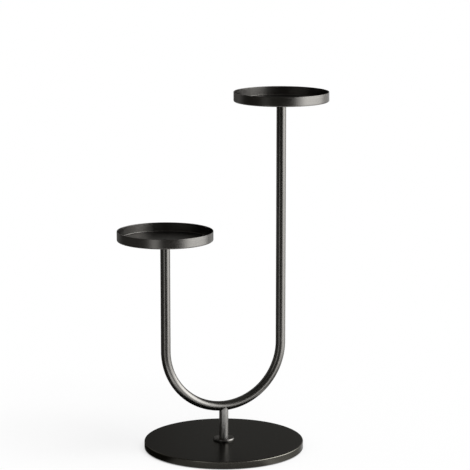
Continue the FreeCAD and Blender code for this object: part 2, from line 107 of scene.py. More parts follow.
def rounded(corners: Sequence[Corner], closed: bool, steps: int) -> np.ndarray:
    """Work out the points of an outline whose corners are rounded.

    A corner P with unit directions a and b to its neighbours, and half the angle between them, becomes an arc
    about P + bisector * radius / sin(half), from P + a * t to P + b * t with t = radius / tan(half). One more
    point beyond each end of the arc keeps the flats beside it flat when they are shaded.

    Args:
        corners: the corners in order.
        closed: whether the last corner joins the first.
        steps: straight steps in each arc.

    Returns:
        An array of pairs, out and along.
    """
    guard_share = 0.3
    places = np.array([(corner.out, corner.along) for corner in corners])
    runs = []
    for index, corner in enumerate(corners):
        here = places[index]
        is_end = not closed and index in (0, len(corners) - 1)
        if corner.rounding == 0 or is_end:
            runs.append(here[None, :])
            continue
        arms = np.stack([places[index - 1], places[(index + 1) % len(corners)]]) - here
        arms /= np.linalg.norm(arms, axis=1, keepdims=True)
        half = math.acos(float(np.clip(arms[0] @ arms[1], -1, 1))) / 2
        bisector = arms.sum(axis=0) / np.linalg.norm(arms.sum(axis=0))
        middle = here + bisector * corner.rounding / math.sin(half)
        reach = corner.rounding / math.tan(half)
        ends = here + arms * reach
        guards = here + arms * (reach + guard_share * corner.rounding)
        from_middle = ends - middle
        angles = np.arctan2(from_middle[:, 1], from_middle[:, 0])
        swing = (angles[1] - angles[0] + math.pi) % TURN - math.pi
        angle = angles[0] + swing * np.linspace(0, 1, steps + 1)
        arc = middle + corner.rounding * np.column_stack([np.cos(angle), np.sin(angle)])
        runs.append(np.vstack([guards[:1], arc, guards[1:]]))
    return np.vstack(runs)


def refined(points: np.ndarray, step: float, closed: bool) -> np.ndarray:
    """Cut every run of an outline that is longer than a step into equal parts.

    Args:
        points: pairs, out and along.
        step: longest run to leave.
        closed: whether the last point joins the first.

    Returns:
        The same outline with more points.
    """
    starts = points if closed else points[:-1]
    ends = np.roll(points, -1, axis=0) if closed else points[1:]
    parts = np.maximum(1, np.ceil(np.linalg.norm(ends - starts, axis=1) / step)).astype(int)
    run = np.repeat(np.arange(len(parts)), parts)
    part = np.arange(parts.sum()) - np.repeat(np.cumsum(parts) - parts, parts)
    cut = starts[run] + (part / parts[run])[:, None] * (ends - starts)[run]
    return cut if closed else np.vstack([cut, points[-1:]])


class Axis(Protocol):
    """A line that outlines are carried round."""

    def frames(self, along: np.ndarray) -> Frames:
        """Give points of the line, and two unit directions that span the plane square to it."""


@dataclass(frozen=True)
class UprightAxis:
    """A vertical line; along it is height above the floor."""

    x: float = 0.0
    y: float = 0.0

    def frames(self, along: np.ndarray) -> Frames:
        """Give points of the line and the X and Y directions.

        Args:
            along: heights.

        Returns:
            Points, which have one more dimension than along, and the two directions.
        """
        flat = np.zeros_like(along)
        points = np.stack([flat + self.x, flat + self.y, along], axis=-1)
        return points, np.array([1.0, 0.0, 0.0]), np.array([0.0, 1.0, 0.0])


@dataclass(frozen=True)
class BentAxis:
    """The centre line of the bent tube: down the short arm, round the half circle and up the tall arm."""

    radius: float
    middle: float
    short_top: float
    tall_top: float

    @property
    def length(self) -> float:
        """Length of the whole centre line."""
        arms = self.short_top + self.tall_top - 2 * self.middle
        return arms + math.pi * self.radius

    def frames(self, along: np.ndarray) -> Frames:
        """Give points of the centre line, the direction to the inside of the bend, and the Y direction.

        With t the angle turned so far, held between 0 and half a turn, the point is
        (-R cos t, 0, h - R sin t), where h falls along the short arm, stays level round the bend and rises
        along the tall arm. The inside of the bend is towards (cos t, 0, sin t).

        Args:
            along: lengths from the top of the short arm.

        Returns:
            Points, inward directions and the Y direction.
        """
        short_arm = self.short_top - self.middle
        angle = np.clip((along - short_arm) / self.radius, 0, math.pi)
        fall = np.minimum(along, short_arm)
        rise = np.maximum(along - short_arm - math.pi * self.radius, 0)
        level = np.zeros_like(angle)
        height = self.short_top - fall + rise - self.radius * np.sin(angle)
        points = np.stack([-self.radius * np.cos(angle), level, height], axis=-1)
        inward = np.stack([np.cos(angle), level, np.sin(angle)], axis=-1)
        return points, inward, np.array([0.0, 1.0, 0.0])


def ring(count: int, sweep: float = TURN) -> np.ndarray:
    """Angles in equal steps, all the way round or through a sweep with both of its ends."""
    return np.linspace(0, sweep, count, endpoint=sweep < TURN)


@dataclass(frozen=True)
class Surface:
    """A grid of points with the brushing coordinates of each.

    Attributes:
        points: rows along the outline by columns round the axis by three.
        grain: brushing coordinates in the same grid.
        closed_along: whether the last row joins the first.
        closed_around: whether the last column joins the first; if not, both ends are capped.
    """

    points: np.ndarray
    grain: np.ndarray
    closed_along: bool
    closed_around: bool

    def faces(self, first: int) -> list[list[int]]:
        """List the faces of the grid.

        Args:
            first: number of the grid's first point in the mesh.

        Returns:
            Four-cornered faces between neighbouring points, and the two caps of an open ring.
        """
        rows, columns = self.points.shape[:2]
        row, column = np.meshgrid(
            np.arange(rows if self.closed_along else rows - 1),
            np.arange(columns if self.closed_around else columns - 1),
            indexing="ij",
        )
        next_row = (row + 1) % rows
        next_column = (column + 1) % columns
        corners = [(row, column), (next_row, column), (next_row, next_column), (row, next_column)]
        quads = np.stack([first + r * columns + c for r, c in corners], axis=-1)
        faces = quads.reshape(-1, len(corners)).tolist()
        if not self.closed_around:
            starts = first + columns * np.arange(rows)
            faces += [starts.tolist(), (starts + columns - 1).tolist()]
        return faces


def carried(
    out: np.ndarray,
    along: np.ndarray,
    axis: Axis,
    angles: np.ndarray,
    closed_along: bool = True,
    closed_around: bool = True,
) -> Surface:
    """Carry an outline round an axis.

    A point goes to axis(along) + out * (cos v * first + sin v * second), where v is its angle and first and
    second span the plane square to the axis there.

    Args:
        out: distances from the axis, as rows by columns, or by one column for a plain round piece.
        along: places along the axis, in the same shape or one that spreads to it.
        axis: the line to carry the outline round.
        angles: the angle of each column.
        closed_along: whether the outline is a loop.
        closed_around: whether the columns go all the way round.

    Returns:
        The surface, with its brushing coordinates.
    """
    out, along, angle = np.broadcast_arrays(out, along, angles[None, :])
    origin, first, second = axis.frames(along)
    cosine, sine = np.cos(angle), np.sin(angle)
    points = origin + out[..., None] * (cosine[..., None] * first + sine[..., None] * second)
    steps = np.hypot(np.diff(out[:, 0]), np.diff(along[:, 0]))
    length = np.concatenate([[0.0], np.cumsum(steps)])[:, None]
    grain = np.stack([cosine, sine, np.broadcast_to(length, cosine.shape)], axis=-1)
    return Surface(points, grain, closed_along, closed_around)


def turned(
    corners: Sequence[Corner], axis: Axis, fineness: Fineness, closed: bool = True, sweep: float = TURN
) -> Surface:
    """Turn a rounded outline round an axis.

    Args:
        corners: the outline's corners.
        axis: the line to turn it round.
        fineness: how finely to mesh it.
        closed: whether the outline is a loop; if not, it begins and ends on the axis.
        sweep: how far round to turn it.

    Returns:
        The surface.
    """
    outline = refined(rounded(corners, closed, fineness.arc), fineness.step, closed)
    angles = ring(fineness.columns, sweep)
    return carried(outline[:, :1], outline[:, 1:], axis, angles, closed, sweep == TURN)


def stacked(rows: Sequence[Row], angles: np.ndarray) -> Row:
    """Stack the rows of an outline into a grid.

    Args:
        rows: out and along of each row or block of rows.
        angles: the angle of each column.

    Returns:
        Distances from the axis and places along it, as rows by columns.
    """
    blocks = [np.broadcast_arrays(*row, angles[None, :])[:2] for row in rows]
    out, along = (np.vstack(parts) for parts in zip(*blocks))
    return out, along


def hexagon(across: float, angles: np.ndarray) -> np.ndarray:
    """Distance to a hexagon's side at each angle: half its width across flats / cos(angle off a flat)."""
    sixth = TURN / 6
    return across / 2 / np.cos(np.mod(angles, sixth) - sixth / 2)


def thread_rows(radius: float, low: float, high: float, pitch: float, angles: np.ndarray) -> Row:
    """Work out a screw thread as a grid.

    The radius falls from the crest by the thread's depth in a triangle wave of along / pitch - angle / turn,
    and the wave fades out at both ends.

    Args:
        radius: crest of the thread.
        low: lower end.
        high: upper end.
        pitch: one turn's climb.
        angles: the angle of each column.

    Returns:
        Distances from the axis and heights, as rows by columns.
    """
    rows_per_pitch = 8
    depth_per_pitch = 0.54
    rows = max(2, math.ceil((high - low) / pitch * rows_per_pitch))
    along = np.linspace(low, high, rows)[:, None]
    phase = np.mod(along / pitch - angles[None, :] / TURN, 1.0)
    wave = np.abs(2 * phase - 1)
    fade = np.clip(np.minimum(along - low, high - along) / pitch, 0, 1)
    return radius - depth_per_pitch * pitch * wave * fade, np.broadcast_to(along, phase.shape)


def bead_rows(foot: Row, head: Row, root: Row, angles: np.ndarray, ripples: int) -> Row:
    """Work out a weld bead as a grid: a bulging face between its two legs, closed through its root.

    With q from 0 to 1 across the face, a point is at (1 - q) * foot + q * head, and further outwards by
    4 q (1 - q) * swell * size, where size is the distance from foot to head. The swell is its least value
    plus the ripple's times sqrt(1 - c^2), where c climbs from 0 to 1 along each ripple. The ripples are bowed
    across the face.

    Args:
        foot: out and along of one edge of the bead, at each angle.
        head: out and along of its other edge.
        root: out and along of the corner that it fills.
        angles: the angle of each column.
        ripples: ripples round the bead.

    Returns:
        Distances from the axis and places along it, as rows by columns.
    """
    face_rows = 9
    bow = 0.6
    least_swell = 0.10
    ripple_swell = 0.09
    share = np.linspace(0, 1, face_rows)[:, None]
    ends = [np.stack(np.broadcast_arrays(*row, angles)[:2]) for row in (foot, head, root)]
    across = ends[1] - ends[0]
    size = np.hypot(*across)
    outward = np.stack([-across[1], across[0]]) / size
    outward *= np.sign((outward * (ends[0] - ends[2] + ends[1] - ends[2])).sum(axis=0))
    crescent = np.mod(ripples * angles / TURN + bow * (share - 0.5) ** 2, 1.0)
    swell = least_swell + ripple_swell * np.sqrt(np.clip(1 - crescent**2, 0, 1))
    bulge = 4 * share * (1 - share) * swell * size
    face = [(1 - share) * ends[0][k] + share * ends[1][k] + bulge * outward[k] for k in range(2)]
    out, along = (np.vstack([face[k], ends[2][k][None, :]]) for k in range(2))
    return out, along


# Meshes and objects


def linked(name: str, data: bpy.types.ID) -> bpy.types.Object:
    """Make an object of some data, at the origin, and put it in the scene.

    Args:
        name: the object's name.
        data: its mesh, camera or lamp.

    Returns:
        The object.
    """
    made = bpy.data.objects.new(name, data)
    bpy.context.scene.collection.objects.link(made)
    return made


def mark(mesh: bpy.types.Mesh, name: str, values: np.ndarray) -> None:
    """Store three numbers at each of a mesh's points, in an attribute."""
    attribute = mesh.attributes.new(name, "FLOAT_VECTOR", "POINT")
    attribute.data.foreach_set("vector", values.astype(np.float32).ravel())


def mesh_of(name: str, surfaces: Sequence[Surface]) -> bpy.types.Mesh:
    """Make a mesh of some surfaces.

    Args:
        name: the mesh's name.
        surfaces: what it is made of.

    Returns:
        The mesh, with the brushing coordinates of its points.
    """
    points = [surface.points.reshape(-1, 3) for surface in surfaces]
    grain = [surface.grain.reshape(-1, 3) for surface in surfaces]
    firsts = np.cumsum([0, *(len(part) for part in points)]).tolist()
    faces = [face for surface, first in zip(surfaces, firsts) for face in surface.faces(first)]
    mesh = bpy.data.meshes.new(name)
    mesh.from_pydata(np.vstack(points).tolist(), [], faces)
    mark(mesh, GRAIN, np.vstack(grain))
    return mesh


# Shader graphs


class Wire:
    """A value in a shader graph. Arithmetic on it adds Math nodes."""

    def __init__(self, graph: "Graph", socket: bpy.types.NodeSocket) -> None:
        """Wrap an output socket of a graph's node."""
        self.graph = graph
        self.socket = socket

    def _math(self, operation: str, first: Any, second: Any) -> "Wire":
        """Add a Math node for two values, either of which may be a number."""
        return self.graph.node("ShaderNodeMath", {0: first, 1: second}, operation=operation)

    def __add__(self, other: Any) -> "Wire":
        """Sum with a value or number."""
        return self._math("ADD", self, other)

    def __sub__(self, other: Any) -> "Wire":
        """Difference from a value or number."""
        return self._math("SUBTRACT", self, other)

    def __rsub__(self, other: Any) -> "Wire":
        """Difference of a number on the left and this."""
        return self._math("SUBTRACT", other, self)

    def __mul__(self, other: Any) -> "Wire":
        """Product with a value or number."""
        return self._math("MULTIPLY", self, other)

    __radd__ = __add__
    __rmul__ = __mul__

    def swing(self, size: float) -> "Wire":
        """This value, which lies about one half, as a change of some size about nothing."""
        return size * (self - 0.5)


@dataclass(frozen=True)
class Noise:
    """Cloudy noise.

    Attributes:
        scale: how many clouds there are to one unit of the coordinates.
        detail: how many finer sets of clouds are added.
        rough: how strong each finer set is.
    """

    scale: float
    detail: float = 2.0
    rough: float = 0.55


class Graph:
    """The node tree of a material or a world."""

    def __init__(self, owner: bpy.types.Material | bpy.types.World) -> None:
        """Start an empty tree.

        Args:
            owner: the material or world that it belongs to.
        """
        owner.use_nodes = True
        self.tree = owner.node_tree
        self.tree.nodes.clear()

    def add(self, kind: str, sockets: Sockets | None = None, **settings: Any) -> bpy.types.Node:
        """Add a node.

        Args:
            kind: the node's type.
            sockets: what goes into it.
            settings: its own properties, set first; "stops" are a colour ramp's positions and colours.

        Returns:
            The node.
        """
        node = self.tree.nodes.new(kind)
        for name, value in settings.items():
            if name == "stops":
                self._set_stops(node.color_ramp, value)
            else:
                setattr(node, name, value)
        for name, value in (sockets or {}).items():
            if isinstance(value, Wire):
                self.tree.links.new(value.socket, node.inputs[name])
            else:
                node.inputs[name].default_value = value
        return node

    @staticmethod
    def _set_stops(ramp: bpy.types.ColorRamp, stops: Sequence[tuple[float, Triple]]) -> None:
        """Set the two stops of a new colour ramp.

        Args:
            ramp: the ramp.
            stops: position and colour of each stop.
        """
        for element, (position, colour) in zip(ramp.elements, stops):
            element.position = position
            element.color = (*colour, 1.0)

    def node(self, kind: str, sockets: Sockets | None = None, output: str | int = 0, **settings: Any) -> Wire:
        """Add a node, and give the wire from one of its outputs."""
        return Wire(self, self.add(kind, sockets, **settings).outputs[output])

    def finish(self, shader: Wire, kind: str = "ShaderNodeOutputMaterial") -> None:
        """Lead a shader to the tree's output node."""
        self.add(kind, {"Surface": shader})

    def noise(self, vector: Wire, noise: Noise) -> Wire:
        """Add noise on some coordinates, as values about one half."""
        sockets = {"Vector": vector, "Scale": noise.scale, "Detail": noise.detail, "Roughness": noise.rough}
        return self.node("ShaderNodeTexNoise", sockets)

    def place(self) -> Wire:
        """Add the place on the piece, in metres."""
        return self.node("ShaderNodeTexCoord", output="Object")

    def stretched_grain(self, stretch: Triple) -> Wire:
        """Add the piece's brushing coordinates, each times its own factor."""
        grain = self.node("ShaderNodeAttribute", output="Vector", attribute_name=GRAIN)
        return self.node("ShaderNodeVectorMath", {0: grain, 1: stretch}, operation="MULTIPLY")

    def blend(self, share: Wire, dark: Triple, light: Triple) -> Wire:
        """Add a colour that goes from a dark to a light one as a share goes from 0 to 1."""
        return self.node("ShaderNodeValToRGB", {"Fac": share}, stops=[(0.0, dark), (1.0, light)])

    def slope(self) -> Wire:
        """Add how far a face is from both level and upright: 4 z (1 - z), with z the height of its normal.

        Returns:
            The wire: 0 on level and upright faces, and 1 where z is one half.
        """
        normal = self.node("ShaderNodeNewGeometry", output="Normal")
        height = self.node("ShaderNodeSeparateXYZ", {0: normal}, "Z")
        return 4.0 * height * (1.0 - height)

    def bump(self, height: Wire, depth: float) -> Wire:
        """Add a bump whose height runs from 0 to a depth in metres."""
        return self.node("ShaderNodeBump", {"Height": height, "Distance": depth, "Strength": 1.0})

    def surface(self, **sockets: Any) -> None:
        """Finish the tree with one surface shader; an underscore stands for a space in a socket's name."""
        named = {name.replace("_", " "): value for name, value in sockets.items()}
        self.finish(self.node("ShaderNodeBsdfPrincipled", named))


def painted(mesh: bpy.types.Mesh, name: str) -> Graph:
    """Give a mesh a new material.

    Args:
        mesh: the mesh.
        name: the material's name.

    Returns:
        The material's empty graph.
    """
    paint = bpy.data.materials.new(name)
    mesh.materials.append(paint)
    return Graph(paint)


# Finishes

PLATED_BLACK: Triple = (0.132, 0.128, 0.121)
GRAZING_TINT = (0.5, 0.5, 0.5, 1.0)  # how light the black metals get where they are seen along their face


def shaded(colour: Triple, factor: float) -> Triple:
    """A colour made darker or lighter by a factor."""
    return tuple(channel * factor for channel in colour)


@dataclass(frozen=True)
class Finish:
    """A finish that pieces are dressed in.

    Attributes:
        name: name of the material.
        slot: name of its material slot; not used.
    """

    name: str
    slot: str

    def material(self) -> bpy.types.Material:
        """Find the finish's material, or make it the first time.

        Returns:
            The material.
        """
        found = bpy.data.materials.get(self.name)
        if found is None:
            found = bpy.data.materials.new(self.name)
            self.paint(Graph(found))
        return found

    def paint(self, graph: Graph) -> None:
        """Build the finish's shader in an empty graph."""
        raise NotImplementedError


class Brushing(Enum):
    """Which way the fine lines of a metal run: factors on the brushing coordinates."""

    ALONG = (30.0, 30.0, 2.0)
    ROUND = (1.2, 1.2, 1500.0)


@dataclass(frozen=True)
class BrushedBlack(Finish):
    """Black plated metal with fine drawn or brushed lines under a satin lacquer.

    Attributes:
        brushing: which way its lines run.
        colour: its colour.
        roughness: its middle roughness.
        contrast: how far its lines go from the colour either way, as a share of it.
        spread: how much they change the roughness.
        lines: the lines.
        line_depth: their height.
        cloud: faint clouds over them.
        cloud_gloss: how much the clouds change the roughness.
    """

    brushing: Brushing
    colour: Triple = PLATED_BLACK
    roughness: float = 0.31
    contrast: float = 0.28
    spread: float = 0.16
    lines: Noise = Noise(1.0, 4.0, 0.6)
    line_depth: float = 0.004 * MM
    cloud: Noise = Noise(60.0)
    cloud_gloss: float = 0.06

    def paint(self, graph: Graph) -> None:
        """Paint lines in colour, roughness and height, stretched one way, under a faint cloudiness.

        Args:
            graph: the material's empty graph.
        """
        lines = graph.noise(graph.stretched_grain(self.brushing.value), self.lines)
        cloud = graph.noise(graph.place(), self.cloud)
        dark, light = (shaded(self.colour, 1 + change) for change in (-self.contrast, self.contrast))
        graph.surface(
            Base_Color=graph.blend(lines, dark, light),
            Metallic=1.0,
            Specular_Tint=GRAZING_TINT,
            Roughness=self.roughness + lines.swing(self.spread) + cloud.swing(self.cloud_gloss),
            Normal=graph.bump(lines, self.line_depth),
        )


@dataclass(frozen=True)
class CoatedBlack(Finish):
    """Satin black coat with the fine texture of baked powder, and a painted highlight on edges that turn
    upwards.

    Attributes:
        colour: its colour, before the next two factors.
        full: factor on the colour away from the painted edge highlight.
        edge_highlight: factor on it at the peak of the painted highlight, half-way round a rounded edge.
        flat: share of the painted highlight on level and upright faces.
        roughness: its middle roughness.
        peel: its orange peel.
        peel_depth: height of the peel.
        cloud: faint clouds.
        cloud_tint: how much the clouds change the coat.
        cloud_gloss: how much they change the roughness.
    """

    colour: Triple = (0.0515, 0.0495, 0.043)
    full: float = 0.8
    edge_highlight: float = 1.0
    flat: float = 0.1
    roughness: float = 0.26
    peel: Noise = Noise(900.0)
    peel_depth: float = 0.006 * MM
    cloud: Noise = Noise(22.0, 4.0)
    cloud_tint: float = 0.06
    cloud_gloss: float = 0.04

    def paint(self, graph: Graph) -> None:
        """Paint orange peel in height, faint clouds in colour and roughness, and a painted highlight on
        rounded edges.

        Args:
            graph: the material's empty graph.
        """
        place = graph.place()
        peel = graph.noise(place, self.peel)
        cloud = graph.noise(place, self.cloud)
        # Random clouds, plus a painted highlight that rises with the slope of each face, so rounded edges
        # that turn upwards are lighter
        cloud_and_edge_highlight = self.flat + cloud.swing(self.cloud_tint) + (1 - self.flat) * graph.slope()
        graph.surface(
            Base_Color=graph.blend(cloud_and_edge_highlight, shaded(self.colour, self.full), shaded(self.colour, self.edge_highlight)),
            Metallic=1.0,
            Specular_Tint=GRAZING_TINT,
            Roughness=self.roughness + cloud.swing(self.cloud_gloss),
            Normal=graph.bump(peel, self.peel_depth),
        )


@dataclass(frozen=True)
class Clouded(Finish):
    """A finish with broad clouds and a fine tooth.

    Attributes:
        dark: its darkest colour.
        light: its lightest colour.
        cloud: the clouds.
        tooth: the tooth.
        depth: height of the tooth.
        roughness: its middle roughness.
        cloud_gloss: how much the clouds change the roughness.
        tooth_gloss: how much the tooth changes it.
        tooth_tint: the tooth's share in the colour, next to the clouds.
        metal: 1 for bare metal and 0 for anything else.
    """

    dark: Triple
    light: Triple
    cloud: Noise
    tooth: Noise
    depth: float
    roughness: float
    cloud_gloss: float = 0.0
    tooth_gloss: float = 0.0
    tooth_tint: float = 0.0
    metal: float = 0.0

    def paint(self, graph: Graph) -> None:
        """Paint clouds and tooth in colour and roughness, and the tooth in height.

        Args:
            graph: the material's empty graph.
        """
        place = graph.place()
        cloud = graph.noise(place, self.cloud)
        tooth = graph.noise(place, self.tooth)
        share = (1 - self.tooth_tint) * cloud + self.tooth_tint * tooth
        graph.surface(
            Base_Color=graph.blend(share, self.dark, self.light),
            Metallic=self.metal,
            Roughness=self.roughness + cloud.swing(self.cloud_gloss) + tooth.swing(self.tooth_gloss),
            Normal=graph.bump(tooth, self.depth),
        )


@dataclass(frozen=True)
class ZincPlate(Clouded):
    """Bright zinc plate with a faint bluish cloud and fine scratches."""

    dark: Triple = (0.46, 0.47, 0.48)
    light: Triple = (0.64, 0.63, 0.60)
    cloud: Noise = Noise(180.0, 4.0)
    tooth: Noise = Noise(1400.0)
    depth: float = 0.01 * MM
    roughness: float = 0.3
    cloud_gloss: float = 0.1
    tooth_gloss: float = 0.2
    metal: float = 1.0


@dataclass(frozen=True)
class CastCement(Clouded):
    """Rough grey cement with clouds and grains of sand."""

    dark: Triple = (0.30, 0.29, 0.27)
    light: Triple = (0.54, 0.53, 0.50)
    cloud: Noise = Noise(45.0, 5.0, 0.6)
    tooth: Noise = Noise(800.0)
    depth: float = 0.3 * MM
    roughness: float = 0.85
    tooth_gloss: float = 0.2
    tooth_tint: float = 0.4


@dataclass(frozen=True)
class MattPlate(Clouded):
    """Thin matt black paint on sheet steel, with a dusty, uneven spread."""

    dark: Triple = (0.020, 0.020, 0.020)
    light: Triple = (0.042, 0.041, 0.040)
    cloud: Noise = Noise(16.0, 5.0, 0.6)
    tooth: Noise = Noise(1600.0)
    depth: float = 0.01 * MM
    roughness: float = 0.62
    cloud_gloss: float = 0.14


@dataclass(frozen=True)
class FoamRubber(Finish):
    """Matt black foam rubber with small cells."""

    dark: Triple = (0.018, 0.018, 0.018)
    light: Triple = (0.045, 0.044, 0.043)
    cell_scale: float = 1100.0
    cell_depth: float = 0.15 * MM
    roughness: float = 0.9
    cell_gloss: float = 0.1

    def paint(self, graph: Graph) -> None:
        """Paint cells in height, roughness and a little in colour.

        Args:
            graph: the material's empty graph.
        """
        sockets = {"Vector": graph.place(), "Scale": self.cell_scale}
        cells = graph.node("ShaderNodeTexVoronoi", sockets, "Distance")
        graph.surface(
            Base_Color=graph.blend(cells, self.dark, self.light),
            Roughness=self.roughness + cells.swing(self.cell_gloss),
            Normal=graph.bump(cells, self.cell_depth),
        )


TUBE_FINISH = BrushedBlack(
    "tube_brushed_along", "tube_black", Brushing.ALONG, contrast=0.14, roughness=0.26, spread=0.08
)
TRAY_FINISH = BrushedBlack("tray_brushed_round", "tray_black", Brushing.ROUND)
COLLAR_FINISH = BrushedBlack("collar_brushed_round", "tube_black", Brushing.ROUND, roughness=0.3)
# The post's colour is about twice the tube's: a lighter copy of the same black, painted light standing in for
# the light the post catches near the base
LIT_POST_FINISH = BrushedBlack(
    "lightened_post_brushed_along", "tube_black", Brushing.ALONG, (0.28, 0.275, 0.266), roughness=0.36
)
# The base's rounded edges carry a painted highlight, up to 2.4 times its colour
BASE_FINISH = CoatedBlack("base_satin", "base_black", edge_highlight=2.4)
WELD_FINISH = CoatedBlack("weld_satin", "tube_black", PLATED_BLACK)
SCREW_FINISH = CoatedBlack("screw_oxide", "screw_black", (0.04, 0.04, 0.04), roughness=0.42)
PLATE_FINISH = MattPlate("plate_matt", "plate_black")
ZINC_FINISH = ZincPlate("zinc_plate", "zinc_steel")
CEMENT_FINISH = CastCement("cast_cement", "cast_cement")
FOAM_FINISH = FoamRubber("foam_rubber", "pad_rubber")


# Sub-assemblies


@dataclass(kw_only=True)
class SubAssembly:
    """Pieces that are built together, each with the finish that it is dressed in."""

    finishes: dict[bpy.types.Object, Finish] = field(default_factory=dict, init=False)

    def build(self) -> None:
        """Make the pieces."""
        raise NotImplementedError

    def add(self, name: str, surfaces: Sequence[Surface], node: str, finish: Finish) -> None:
        """Make one piece of some surfaces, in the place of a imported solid.

        Args:
            name: name of the piece.
            surfaces: the closed surfaces that it is made of.
            node: the solid that it stands for.
            finish: what it will be dressed in.
        """
        mesh = mesh_of(name, surfaces)
        self._close(mesh)
        piece = linked(name, mesh)
        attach(piece, BODY)
        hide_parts(node)
        self.finishes[piece] = finish
        LOG.info("%s: %d faces in the place of %s", name, len(mesh.polygons), node)

    def keep(self, node: str, finish: Finish) -> None:
        """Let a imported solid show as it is, in a finish of its own."""
        self.finishes[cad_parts[node]] = finish
        LOG.info("%s: kept as packed", node)

    @staticmethod
    def _close(mesh: bpy.types.Mesh) -> None:
        """Merge the points at poles, turn the faces outwards and mark the sharp edges.

        Args:
            mesh: the mesh to close.
        """
        work = bmesh.new()
        work.from_mesh(mesh)
        bmesh.ops.remove_doubles(work, verts=work.verts, dist=MERGE)
        bmesh.ops.recalc_face_normals(work, faces=work.faces)
        work.to_mesh(mesh)
        work.free()
        mesh.shade_smooth()
        mesh.set_sharp_from_angle(angle=SHARP)

    def dress(self) -> None:
        """Give every piece its finish."""
        for piece, finish in self.finishes.items():
            piece.data.materials.clear()
            piece.data.materials.append(finish.material())


@dataclass(kw_only=True)
class RoundBase(SubAssembly):
    """The weighted base: pressed cover, ballast, bottom plate with its well, pads, bolt and washers."""

    cover_sheet: float = 1.5 * MM
    cover_bend: float = 0.8 * MM
    cover_mesh: Fineness = Fineness(192, 12 * MM)
    plate_sheet: float = 1.2 * MM
    plate_bend: float = 1.0 * MM
    plate_mesh: Fineness = Fineness(128, 12 * MM)
    well_radius: float = 23 * MM
    cut_edge: float = 0.25 * MM
    pad_count: int = 6
    pad_radius: float = 13 * MM
    pad_edge: float = 0.5 * MM
    pad_mesh: Fineness = Fineness(48, 3 * MM, arc=4)
    bolt_hole: float = 4.4 * MM
    bolt_radius: float = 4 * MM
    bolt_pitch: float = 1.25 * MM
    bolt_across: float = 13 * MM
    bolt_face: float = 6.045 * MM
    bolt_chamfer: float = math.radians(30)
    bolt_point: float = 1 * MM
    bolt_columns: int = 72
    washer_edge: float = 0.2 * MM
    washer_mesh: Fineness = Fineness(96, arc=3)
    split: float = math.radians(9)

    def build(self) -> None:
        """Make the base's pieces."""
        self._build_cover()
        self._build_plate()
        self._build_pads()
        self._build_bolt()
        self._build_washer("flat_washer", "base_washer", TURN)
        self._build_washer("split_washer", "base_spring_washer", TURN - self.split)
        self.keep("base_ballast", CEMENT_FINISH)

    def _build_cover(self) -> None:
        """Pressed cap: the outline of its sheet, turned round the middle."""
        low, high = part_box("base_cover")
        ceiling = high.z - self.cover_sheet
        skirt = high.x - self.cover_sheet
        corners = [
            Corner(self.bolt_hole, ceiling),
            Corner(skirt, ceiling, self.cover_bend),
            Corner(skirt, low.z, self.cut_edge),
            Corner(high.x, low.z, self.cut_edge),
            Corner(high.x, high.z, self.cover_bend + self.cover_sheet),
            Corner(self.bolt_hole, high.z),
        ]
        surface = turned(corners, UprightAxis(), self.cover_mesh)
        self.add("pressed_base_cover", [surface], "base_cover", BASE_FINISH)

    def _build_plate(self) -> None:
        """Bottom plate with a well pressed up to the cover."""
        low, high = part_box("base_bottom_plate")
        inside = self.well_radius - self.plate_sheet
        outer_bend = self.plate_bend + self.plate_sheet
        corners = [
            Corner(self.bolt_hole, high.z - self.plate_sheet),
            Corner(inside, high.z - self.plate_sheet, self.plate_bend),
            Corner(inside, low.z, outer_bend),
            Corner(high.x, low.z, self.cut_edge),
            Corner(high.x, low.z + self.plate_sheet, self.cut_edge),
            Corner(self.well_radius, low.z + self.plate_sheet, self.plate_bend),
            Corner(self.well_radius, high.z, outer_bend),
            Corner(self.bolt_hole, high.z),
        ]
        surface = turned(corners, UprightAxis(), self.plate_mesh)
        self.add("pressed_bottom_plate", [surface], "base_bottom_plate", PLATE_FINISH)

    def _build_pads(self) -> None:
        """Ring of pads with eased edges, each a closed button."""
        low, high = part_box("floor_pads")
        circle = high.x - self.pad_radius
        corners = [
            Corner(0.0, low.z),
            Corner(self.pad_radius, low.z, self.pad_edge),
            Corner(self.pad_radius, high.z, self.pad_edge),
            Corner(0.0, high.z),
        ]
        places = [UprightAxis(circle * math.cos(v), circle * math.sin(v)) for v in ring(self.pad_count)]
        pads = [turned(corners, place, self.pad_mesh, closed=False) for place in places]
        self.add("foam_floor_pads", pads, "floor_pads", FOAM_FINISH)

    def _build_bolt(self) -> None:
        """Hexagon bolt, head down: a hexagon whose corners are turned off, and a threaded shank.

        The turned corners rise by the chamfer's tangent times their distance past the flats, as on a cone.
        """
        low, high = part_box("base_bolt")
        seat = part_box("base_spring_washer")[0].z
        angles = ring(self.bolt_columns)
        side = hexagon(self.bolt_across, angles)
        past_flats = side - self.bolt_across / 2
        rows = [
            (0.0, low.z),
            (self.bolt_face, low.z),
            (side, low.z + past_flats * math.tan(self.bolt_chamfer)),
            (side, seat),
            (self.bolt_radius, seat),
            thread_rows(self.bolt_radius, seat, high.z - self.bolt_point, self.bolt_pitch, angles),
            (self.bolt_radius - self.bolt_point, high.z),
            (0.0, high.z),
        ]
        surface = carried(*stacked(rows, angles), UprightAxis(), angles, closed_along=False)
        self.add("hexagon_bolt", [surface], "base_bolt", ZINC_FINISH)

    def _build_washer(self, name: str, node: str, sweep: float) -> None:
        """Washer with eased edges.

        Args:
            name: name of the piece.
            node: the solid that it stands for.
            sweep: how far round it goes: less than a turn for a split one.
        """
        low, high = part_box(node)
        outer = (high.y - low.y) / 2
        places = [(self.bolt_hole, low.z), (outer, low.z), (outer, high.z), (self.bolt_hole, high.z)]
        corners = [Corner(out, along, self.washer_edge) for out, along in places]
        surface = turned(corners, UprightAxis(), self.washer_mesh, sweep=sweep)
        self.add(name, [surface], node, ZINC_FINISH)


